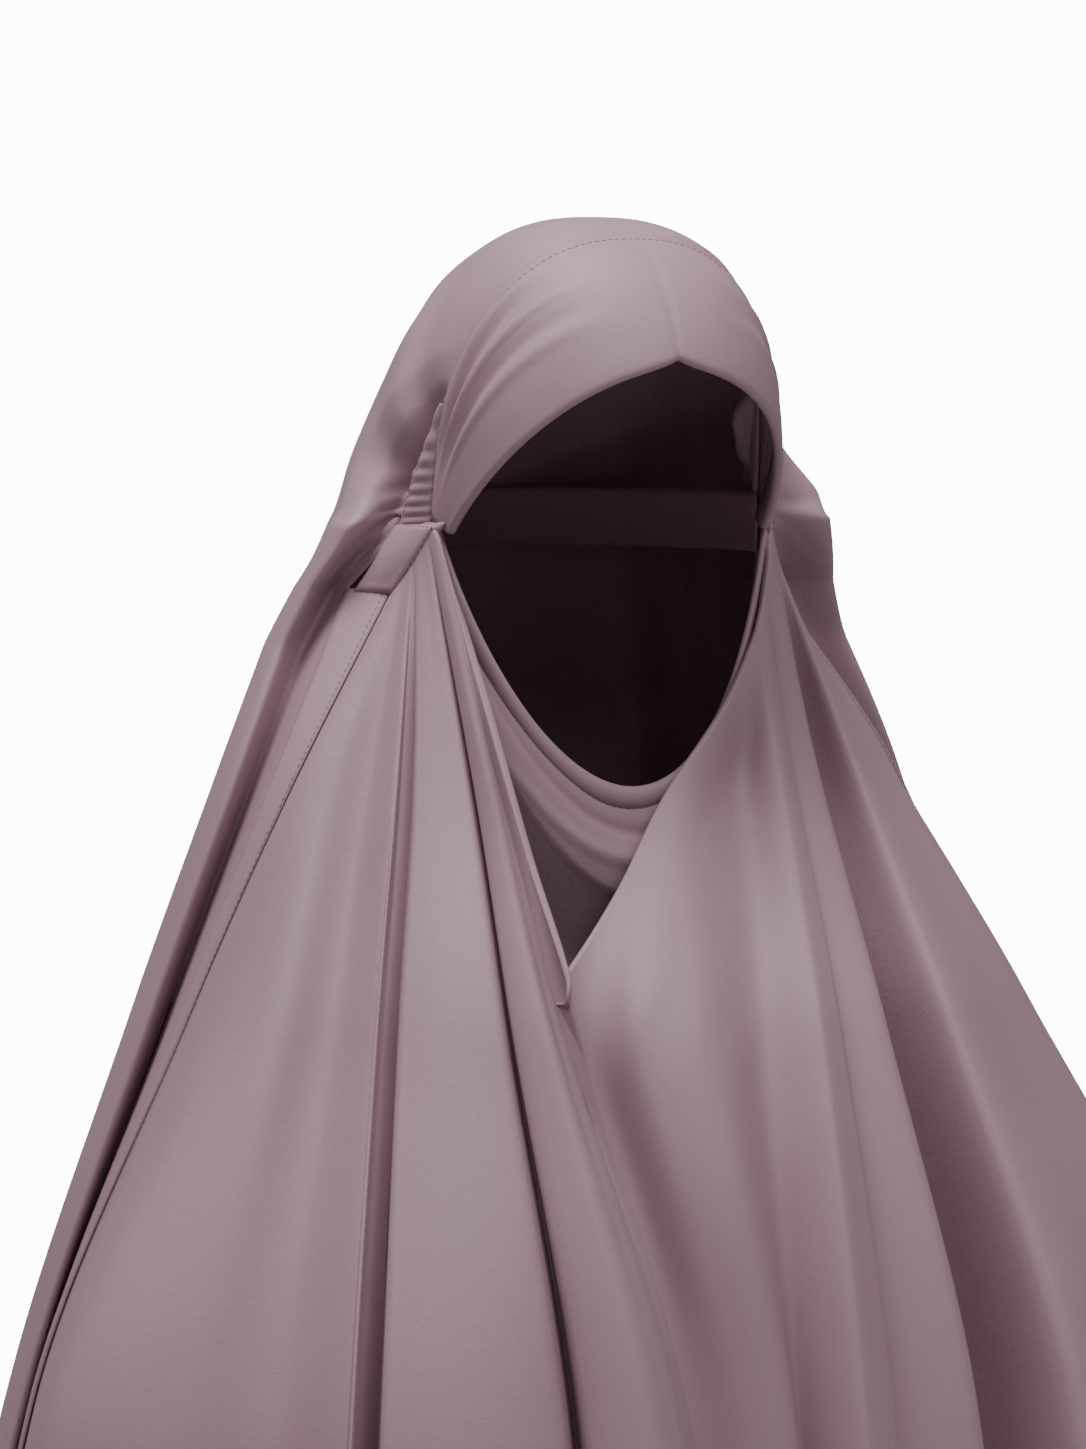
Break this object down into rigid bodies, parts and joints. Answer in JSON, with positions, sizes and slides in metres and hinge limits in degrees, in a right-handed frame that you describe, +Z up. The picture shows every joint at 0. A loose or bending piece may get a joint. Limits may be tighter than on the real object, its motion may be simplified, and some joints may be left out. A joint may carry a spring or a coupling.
{
  "type": "khimar veil",
  "caption": "Long khimar veil as worn: brow band, outer veil, pleated front drape with a cowl neckline and a bound face opening.",
  "frame": {"origin": "inside of the crown, where the cloth sits on top of the head", "axes": "+Z up, +X towards the wearer's left, the wearer looks along -Y"},
  "size_m": [0.6266, 0.4422, 0.8019],
  "materials": {
    "veil_cloth": "satin",
    "panel_cloth": "matte"
  },
  "bodies": {
    "root": {"brow_band": "veil_cloth", "veil": "veil_cloth", "front_drape": "veil_cloth", "chin_panel": "panel_cloth", "face_binding": "veil_cloth", "nape_tie": "panel_cloth", "side_welt_right": "veil_cloth", "side_welt_left": "veil_cloth", "gather_casing_right": "veil_cloth", "gather_casing_left": "veil_cloth", "temple_patch_right": "veil_cloth", "temple_patch_left": "veil_cloth"}
  },
  "joints": []
}
